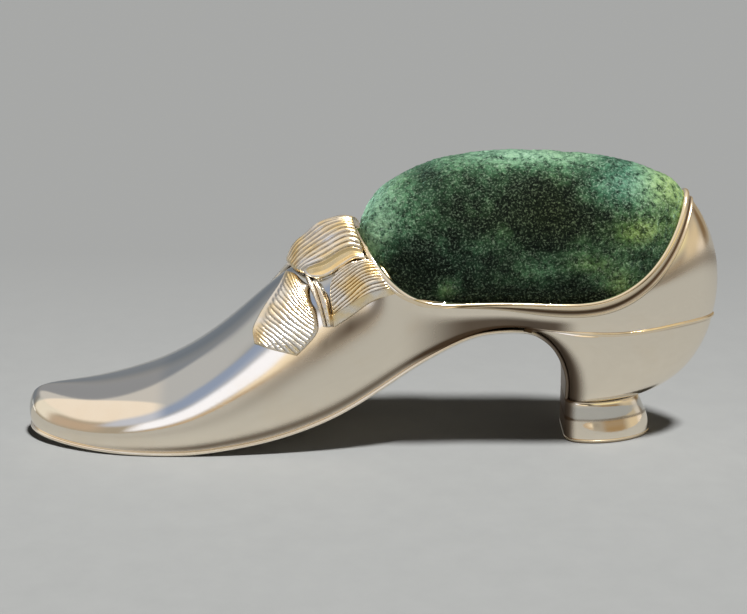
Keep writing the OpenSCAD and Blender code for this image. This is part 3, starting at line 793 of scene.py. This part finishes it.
def make_leaf(name, grid, side, ribs, thickness, seed, rib_h=0.34, edge=0.7, across=160, along=64,
              ends=(0.5, 0.5), plain_s=(1.0, 1.1), both=False, hollow=0.0, free=0.0,
              stray=0.0, darkness=1.0, slant=0.0, gilding=0.0):
    """Closed leaf of ribbon whose ribs run along each row of the grid.

    edge is the radius of the rolled edges, and ends the plain length at both ends of the rows.
    plain_s is where the ribs fade out across the leaf, on both sides of its middle if both is
    set, and hollow sinks that plain part.  free thins the leaf at the end of its rows, stray
    says how far a rib may wander along its length, dirt how dark the grooves are, slant how
    far the ribs cross the rows and gilding how much more golden the leaf is than the others.
    """
    s = np.linspace(0, 1, across)
    t = np.linspace(0, 1, along)
    base = patch(grid, s, t)
    n = unit(np.cross(np.gradient(base, axis=1), np.gradient(base, axis=0)))
    n *= np.sign((n * (base - [0, 0, 15])).sum(-1, keepdims=True))
    width = np.linalg.norm(np.diff(base, axis=0), axis=-1).sum(0).mean()
    length = np.linalg.norm(np.diff(base, axis=1), axis=-1).sum(1).mean()
    from_side = np.minimum(s, 1 - s) * width
    from_start, from_end = t * length, (1 - t) * length
    middle = np.abs(2 * s - 1) if both else s
    plain_part = smooth_step(middle, *plain_s)
    ribs_across = 1 - plain_part
    ribs_along = (smooth_step(from_start, 0.3 * ends[0], ends[0])
                  * smooth_step(from_end, 0.3 * ends[1], ends[1]))
    shift = stray * wander(along, seed + 3, 0.06, 1.0) + slant * t
    rib = np.stack([ribbed(ribs, s + k, seed) for k in shift], 1)
    uneven_along = wander(along, seed + 5, 0.2, 0.4)[None]
    strength = 1 + uneven_along * wander(across, seed + 9, 0.9, 1.0)[:, None]
    rib = np.clip(rib * strength, 0, 1.25) * ribs_along[None] * ribs_across[:, None]
    fade = smooth_step(from_side, 0.05, 0.5)[:, None]
    roll = edge - np.minimum(from_side[:, None], edge)
    roll_t = edge - np.minimum(np.minimum(from_start, from_end)[None], edge)
    drop = 2 * edge - np.sqrt(np.maximum(edge ** 2 - roll ** 2, 0)) - np.sqrt(
        np.maximum(edge ** 2 - roll_t ** 2, 0))
    sunk = hollow * (plain_part * smooth_step(1 - middle, 0.02, 0.12))[:, None]
    sunk = sunk * np.sin(math.pi * t)[None]
    height = rib_h * rib * fade - rib_h - sunk - 0.8 * np.minimum(drop, thickness)
    top = base + height[..., None] * n
    thick = thickness - free * smooth_step(t, 0.5, 0.85)
    bottom = base - (thick + rib_h)[None, :, None] * n
    points, faces = sheet_mesh(on_side(top, side), on_side(bottom, side))
    piece = new_piece(name, points, faces, bow_metal, sharp=70)
    ribbed_part = ribs_along[None] * ribs_across[:, None] * fade
    depth = darkness * np.clip(1 - rib, 0, 1) * ribbed_part + 0.1 * (1 - ribbed_part)
    # Each leaf's underside is marked fully dark: painted shade under the leaf, darkening its side
    # walls towards the bottom
    mark(piece, "depth", np.concatenate([depth.ravel(), np.ones(depth.size)]))
    gilt = np.full(len(points), float(gilding))
    if hollow:
        gilt[:sunk.size] += (sunk > 0.25 * hollow).ravel()
    mark(piece, "gilt", gilt)
    return piece


def make_bow():
    """Knot over the ridge, with a loop, a tail and a pair of folds on each side."""
    whole = np.concatenate([KNOT[:0:-1] * MIRROR, KNOT])
    knot = make_leaf("knot", whole, 1, 22, 1.8, 11, edge=0.8, across=260, along=80,
                     plain_s=(0.70, 0.82), both=True, hollow=0.45, stray=0.006)
    finish_piece(knot, "shoe", "bow_silver", "bow_knot")
    for k, (side_name, side) in enumerate(SIDES.items()):
        loop = make_leaf(f"loop_{side_name}", LOOP, side, 16, 1.5, 20 + k, ends=(0.3, 1.8),
                         edge=0.5, plain_s=(0.68, 0.74), free=0.8, stray=0.008, slant=0.18)
        finish_piece(loop, "shoe", "bow_silver", f"bow_loop_{side_name}")
        tail = make_leaf(f"tail_{side_name}", TAIL, side, 17, 1.0, 30 + k, rib_h=0.3, edge=0.5,
                         ends=(2.2, 0.5), stray=0.012, slant=-0.34)
        finish_piece(tail, "shoe", "bow_silver", f"bow_tail_{side_name}")
        folds = make_leaf(f"folds_{side_name}", FOLDS, side, 2, 1.3, 40 + k, rib_h=0.8, edge=0.4,
                          ends=(0.01, 0.01), across=60, along=48, darkness=0.35, gilding=-0.8)
        finish_piece(folds, "shoe", "bow_silver")


# ---- velvet pad ----

PAD_ROW = closed_row(PAD_OUTLINE)
PAD_HALF = (29.0, 9.8)  # half length and half width that insets are measured on
PAD_TOP = PAD_BOX[1].z * METRE
PAD_LOW = PAD_BOX[0].z * METRE
PAD_TUCK = 1.6          # how far the bottom edge is drawn in
PAD_BULGE = 1.3         # how far the sides stand out over the rim
PAD_ROOM = 0.05         # room between the opening and the pad before it swells
START_CROWN = PAD_TOP - 0.1
CROWN = PAD_TOP - 0.25  # what the pile then stands on
SIM_SCALE = 10.0        # cloth behaves well at this many times the real size
SIM_FRAMES = 20
VOXEL = 0.0115
AIR_PRESSURE = 14.0
SWELL_CAP = 0.9         # millimetres that the pressure may move a point
VELVET_T = 0.6
MOUTH_INSET = 5.0       # the velvet stops this far in on the underside

# Where the pile lies over, with painted sheen and painted shade: [x, height, reach in x, reach in
# height, brightness, warmth]
PILE_PATCHES = (
    (0.5, 40.5, 3.5, 4.0, 0.75, -0.3), (13.2, 30.9, 2.2, 2.8, 0.55, 0.5),
    (22.7, 41.0, 3.0, 2.0, 0.30, -0.1), (48.0, 41.5, 6.5, 2.8, 0.50, 1.0),
    (39.0, 36.0, 5.0, 2.4, 0.36, 0.8), (44.5, 31.5, 3.5, 3.5, 0.40, 0.6),
    (28.0, 34.5, 5.5, 2.0, 0.22, 0.1), (32.0, 45.0, 8.5, 6.0, -0.45, 0.9),
    (9.5, 34.5, 7.5, 4.0, -0.45, 0.1), (21.0, 44.0, 6.0, 4.0, -0.20, 0.2),
    # The long band over the crown, at height 54.8, is painted sheen
    (44.0, 49.5, 8.0, 4.0, 0.30, -0.7), (27.0, 54.8, 24.0, 2.4, 0.85, -0.5),
    (1.5, 49.0, 5.0, 3.4, 0.50, -0.3), (54.0, 49.5, 6.0, 5.0, 0.80, 0.8),
    (57.5, 41.0, 3.0, 6.0, 0.50, 1.0), (2.0, 45.0, 3.5, 3.5, 0.35, -0.2),
    # The long dark band along the bottom edge is painted shade
    (27.0, 29.2, 30.0, 2.2, -0.45, 0.0),
)


def pad_inset(p, inset):
    """Points of the outline moved in towards the middle of the pad."""
    out = p.copy()
    out[:, 0] = PAD_CENTRE_X + (p[:, 0] - PAD_CENTRE_X) * (1 - inset / PAD_HALF[0])
    out[:, 1] = p[:, 1] * (1 - inset / PAD_HALF[1])
    return out


def pad_rings(inset, crown):
    """Closed rings of the pad from its underside up to its crown."""
    edge = spline(PAD_ROW, np.linspace(0, len(PAD_OUTLINE) - 1, 61))
    rim = pad_inset(edge, inset)
    tall = crown - rim[:, 2:3]
    rings = []
    for tuck, rise in ((PAD_TUCK + 0.3, 0.0), (PAD_TUCK, 0.1), (0.5, 0.9), (0, 2.0)):
        low = pad_inset(rim, tuck)
        low[:, 2] = PAD_LOW + rise
        rings.append(low)
    rings.append(rim)
    for angle in np.radians(np.linspace(6, 89.5, 26)):
        share = math.cos(angle) ** 0.9
        swell = 1 + PAD_BULGE * math.sin(2 * angle) * rim[:, 1:2] / PAD_HALF[1] ** 2
        x = PAD_CENTRE_X + (rim[:, :1] - PAD_CENTRE_X) * share
        z = rim[:, 2:3] + tall * math.sin(angle)
        rings.append(np.concatenate([x, rim[:, 1:2] * share * swell, z], 1))
    return np.stack([np.concatenate([ring * MIRROR, ring[-2:0:-1]]) for ring in rings])


def mesh_arrays(mesh):
    """Points and faces of a mesh."""
    points = np.empty(len(mesh.vertices) * 3)
    mesh.vertices.foreach_get("co", points)
    return points.reshape(-1, 3), [list(poly.vertices) for poly in mesh.polygons]


def modified(obj):
    """Mesh of an object with its modifiers applied."""
    graph = bpy.context.evaluated_depsgraph_get()
    return bpy.data.meshes.new_from_object(obj.evaluated_get(graph))


def temporary(points, faces):
    """An object to run modifiers on, removed later."""
    mesh = bpy.data.meshes.new("work")
    mesh.from_pydata(points.tolist(), [], faces)
    return add_object("work", mesh)


def rim_height(x):
    """Height of the opening's edge at a length, in millimetres."""
    return np.interp(x, PAD_OUTLINE[:, 0], PAD_OUTLINE[:, 2])


def inflate(obj):
    """Blows the dome up from inside while the part below the rim holds still."""
    scene = bpy.context.scene
    start, _ = mesh_arrays(obj.data)
    real = start / SIM_SCALE * METRE
    above = smooth_step(real[:, 2] - rim_height(real[:, 0]), -0.6, 2.0)
    pins = obj.vertex_groups.new(name="pins")
    for k in np.nonzero(above < 0.05)[0]:
        pins.add([int(k)], 1.0, "REPLACE")
    cloth = obj.modifiers.new("air", "CLOTH")
    cloth.settings.use_pressure = True
    cloth.settings.uniform_pressure_force = AIR_PRESSURE
    cloth.settings.effector_weights.gravity = 0
    cloth.settings.vertex_group_mass = "pins"
    cloth.point_cache.frame_start = 1
    cloth.point_cache.frame_end = SIM_FRAMES
    for number in range(1, SIM_FRAMES + 1):
        scene.frame_set(number)
    end, _ = mesh_arrays(modified(obj))
    obj.modifiers.clear()
    scene.frame_set(1)
    move = end - start
    size = np.linalg.norm(move, axis=1, keepdims=True)
    cap = SWELL_CAP * SIM_SCALE / METRE
    move *= np.minimum(size, cap) / np.maximum(size, 1e-9)
    return start + move * above[:, None]


def point_normals(points, faces):
    """Normal at each point, from the areas of the faces round it."""
    quads = np.array([f if len(f) == 4 else [*f, f[-1]] for f in faces])
    a, b, c, d = (points[quads[:, k]] for k in range(4))
    n = np.cross(c - a, d - b)
    total = np.zeros_like(points)
    for k in range(4):
        np.add.at(total, quads[:, k], n)
    return unit(total)


def noise_at(points, scale, seed):
    """Smooth noise from -1 to 1 at each point."""
    offset = Vector((seed * 11.3, seed * 5.1, seed * 7.7))
    return np.array([noise.noise(Vector(p) * scale + offset) for p in points])


def pile_shade(points):
    """How far the pile lies over at each point, with painted sheen and shade added, and how warm
    its green is.
    """
    bright = 0.16 + 0.24 * noise_at(points, 0.16, 1) + 0.20 * noise_at(points, 0.42, 2)
    warm = 0.25 * noise_at(points, 0.12, 3)
    for x, z, reach_x, reach_z, value, warmth in PILE_PATCHES:
        near = np.exp(-((points[:, 0] - x) / reach_x) ** 2 - ((points[:, 2] - z) / reach_z) ** 2)
        bright += value * near
        warm += warmth * near
    return np.clip(bright, 0, 1), np.clip(0.5 + 0.5 * warm, 0, 1)


def fit_opening(points):
    """Draws the swollen pad up to its full height, and out to the bow and the back of the rim."""
    x, z = points[:, 0], points[:, 2]
    seat = rim_height(PAD_CENTRE_X)
    above = np.maximum(z - np.minimum(rim_height(x), z.max()), 0)
    stretch = (CROWN - seat) / (z.max() - seat) - 1
    front = 1.1 * smooth_step(-x, -9, 1) * smooth_step(z, 33, 40)
    back = 1.5 * smooth_step(x, 44, 55) * smooth_step(z, 29, 38)
    back += 0.8 * smooth_step(x, 48, 55) * smooth_step(z, 40, 46)
    return points + np.stack([back - front, 0 * x, stretch * above], 1)


def swollen_pad():
    """Points and faces of the whole swollen pad, before the velvet gets its pile and its hole."""
    points, faces = capped_mesh(pad_rings(PAD_ROOM, START_CROWN) * SIM_SCALE / METRE)
    obj = temporary(points, faces)
    even = obj.modifiers.new("even", "REMESH")
    even.mode = "VOXEL"
    even.voxel_size = VOXEL
    obj.data = modified(obj)
    obj.modifiers.clear()
    obj.data.vertices.foreach_set("co", inflate(obj).ravel())
    smooth = obj.modifiers.new("smooth", "SUBSURF")
    smooth.levels = 2
    points, faces = mesh_arrays(modified(obj))
    bpy.data.objects.remove(obj)
    return fit_opening(points / SIM_SCALE * METRE), faces


def make_pad():
    """Velvet cover: a sheet over the swollen pad, with uneven pile and a hole underneath."""
    points, faces = swollen_pad()
    normals = point_normals(points, faces)
    if ((points - points.mean(0)) * normals).sum() < 0:
        normals = -normals
    shade, warmth = pile_shade(points)
    tufts = noise_at(points, 1.3, 4) + 0.7 * noise_at(points, 2.7, 5)
    crush = noise_at(points, 0.22, 6)
    draped = smooth_step(points[:, 2] - rim_height(points[:, 0]), -1.0, 1.5)
    outer = points + normals * (draped * (0.16 * tufts + 0.30 * crush))[:, None]
    inner = points - normals * VELVET_T
    mouth = np.abs(points[:, 1]) < np.interp(points[:, 0], *mouth_outline())
    mouth &= points[:, 2] < PAD_LOW + 0.5
    kept = [f for f in faces if not all(mouth[k] for k in f)]
    used = sorted({k for f in kept for k in f})
    index = {k: i for i, k in enumerate(used)}
    kept = [[index[k] for k in f] for f in kept]
    count = len(used)
    edges = {(a, b) for f in kept for a, b in zip(f, f[1:] + f[:1])}
    border = sorted((a, b) for a, b in edges if (b, a) not in edges)
    sheet = kept + [[k + count for k in f[::-1]] for f in kept]
    sheet += [[b, a, a + count, b + count] for a, b in border]
    pad = new_piece("velvet_pad", np.concatenate([outer[used], inner[used]]), sheet, green_velvet,
                    sharp=180)
    # Pile that lies over, with painted sheen on the crown and painted shade along the bottom
    mark(pad, "pile_and_painted_light", np.tile(shade[used], 2))
    mark(pad, "warmth", np.tile(warmth[used], 2))
    finish_piece(pad, "cushion", "velvet", "velvet_cover")


def mouth_outline():
    """Half width of the hole on the pad's underside against length."""
    x = np.linspace(-1, 1, 33)
    length = PAD_HALF[0] - MOUTH_INSET
    return PAD_CENTRE_X + x * length, (PAD_HALF[1] - MOUTH_INSET) * (1 - np.abs(x) ** 4) ** 0.5


# ---- CAD pieces that stay ----

def dress_cad_nodes():
    """Gives the inner pieces that stay as packed their own materials."""
    looks = {
        "heel_filling": plain("pitch", (0.02, 0.015, 0.012), (0.06, 0.045, 0.035), 300, 0.6),
        "stuffing": plain("packed_wool", (0.55, 0.48, 0.36), (0.78, 0.72, 0.58), 900, 0.95, 0.8),
        "cushion_board": plain("mill_board", (0.34, 0.27, 0.18), (0.52, 0.43, 0.30), 700, 0.9),
        "gathering_thread": plain("waxed_thread", (0.66, 0.62, 0.52), (0.84, 0.80, 0.70),
                                  2500, 0.6),
    }
    for name, material in looks.items():
        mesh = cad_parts[name].data
        mesh.materials.clear()
        mesh.materials.append(material)


# ---- stage ----

FLOOR_HALF = 5.0                # metres
DIFFUSE_SHARE = 0.07            # share of the surroundings' light that matt surfaces get


def make_floor():
    """Plain pale table top, with painted shade that makes it a little darker towards the back."""
    material, g = node_material("floor_grey")
    coords = g.coords()
    grain = g.span(g.noise(coords, 160, 6, 0.6), 0.3, 0.7)
    near = g.mix(grain, (0.342, 0.352, 0.358), (0.358, 0.368, 0.374))
    # Painted fall-off of light towards the back
    back = g.span(g.add("SeparateXYZ", "Y", {"Vector": coords}), 0.0, 0.12)
    g.shade({"Base Color": g.mix(back, near, (0.290, 0.298, 0.304)),
             "Roughness": 0.9, "Specular IOR Level": 0.0})
    mesh = bpy.data.meshes.new("floor")
    h = FLOOR_HALF
    mesh.from_pydata([(-h, -h, 0), (h, -h, 0), (h, h, 0), (-h, h, 0)], [], [(0, 1, 2, 3)])
    mesh.materials.append(material)
    add_object("floor", mesh)


def make_camera():
    """Camera square to the left side, looking a little down."""
    distance, rise = 0.33, math.radians(18)
    target = Vector((0.00075, 0, 0.0246))
    camera = add_object("camera", bpy.data.cameras.new("camera"))
    camera.location = target + distance * Vector((0, -math.cos(rise), math.sin(rise)))
    camera.rotation_euler = (math.pi / 2 - rise, 0, 0)
    camera.data.sensor_width = 36
    camera.data.lens = 85.35
    camera.data.clip_start = 0.01
    bpy.context.scene.camera = camera


# Large panels round the set, which the silver mirrors:
# [azimuth from the camera towards the heel, elevation, half width, half height, softness], colour
PANELS = (
    ((-150, 10, 40, 16, 10), (0.27, 0.29, 0.32)), ((-150, 45, 45, 20, 12), (0.42, 0.42, 0.44)),
    ((-78, 50, 46, 16, 5), (0.88, 0.82, 0.76)), ((-88, 22, 14, 16, 4), (0.80, 0.78, 0.72)),
    ((-112, -4, 12, 8, 2), (0.98, 1.0, 1.0)), ((-60, 16, 16, 12, 7), (0.50, 0.41, 0.33)),
    ((-34, 31, 12, 9, 5), (0.54, 0.60, 0.76)), ((-16, 14, 11, 9, 4), (1.0, 1.06, 1.24)),
    ((-6, 0, 14, 4, 4), (0.50, 0.38, 0.26)), ((8, 20, 11, 12, 5), (0.09, 0.07, 0.035)),
    ((0, 8, 10, 5, 2), (1.0, 0.88, 0.68)),
    ((44, 27, 24, 9, 6), (0.92, 0.82, 0.48)), ((42, 0, 15, 10, 6), (0.34, 0.24, 0.13)),
    ((76, 8, 16, 14, 8), (0.66, 0.56, 0.40)), ((92, 0, 9, 8, 5), (0.82, 0.74, 0.64)),
    ((110, 12, 10, 10, 6), (0.20, 0.14, 0.08)), ((140, 16, 20, 16, 10), (0.36, 0.30, 0.21)),
)


def make_world():
    """Plain studio surroundings: a pale grey room with warm and cool panels."""
    world = bpy.data.worlds.new("studio")
    bpy.context.scene.world = world
    world.use_nodes = True
    g = Graph(world.node_tree)
    generated = g.add("TexCoord", "Generated", {})
    x, y, z = (g.add("SeparateXYZ", axis, {"Vector": generated}) for axis in "XYZ")
    azimuth = g.math("DEGREES", g.math("ARCTAN2", x, g.math("MULTIPLY", y, -1.0)))
    height = g.math("DEGREES", g.math("ARCSINE", z))

    def within(value, middle, half, soft):
        gap = g.math("ABSOLUTE", g.math("SUBTRACT", value, float(middle)))
        return g.span(gap, half - soft, half + soft, 1, 0, "SMOOTHSTEP")

    sky = g.mix(g.span(height, 25, 70), (0.38, 0.35, 0.30), (0.86, 0.82, 0.74))
    for (turn, rise, half_w, half_h, soft), colour in PANELS:
        across = within(azimuth, turn, half_w, soft)
        mask = g.math("MULTIPLY", across, within(height, rise, half_h, soft))
        sky = g.mix(mask, sky, colour)
    seen, matt = (g.add("LightPath", name, {}) for name in ("Is Camera Ray", "Is Diffuse Ray"))
    g.feed(g.nodes["Background"].inputs, {
        "Color": g.mix(seen, sky, (0.36, 0.37, 0.36)),
        "Strength": g.span(matt, 0, 1, 1.0, DIFFUSE_SHARE)})


def add_sun(name, place, angle, strength, colour):
    """Distant lamp in the direction of place; its angle says how soft its shadows are."""
    data = bpy.data.lights.new(name, "SUN")
    data.energy = strength
    data.angle = math.radians(angle)
    data.color = colour
    lamp = add_object(name, data)
    lamp.rotation_euler = Vector(place).to_track_quat("Z", "Y").to_euler()


def make_stage():
    make_floor()
    make_camera()
    make_world()
    add_sun("key", (0.20, -0.18, 0.96), 8, 4.2, (1, 0.985, 0.95))
    scene = bpy.context.scene
    scene.view_settings.view_transform = "Standard"
    scene.view_settings.look = "None"


make_stage()
for side_label, side_sign in SIDES.items():
    make_shell(side_label, side_sign)
    make_heel(side_label, side_sign)
make_sole()
make_seam()
make_foot()
make_tip()
make_rim()
make_bow()
make_pad()
dress_cad_nodes()
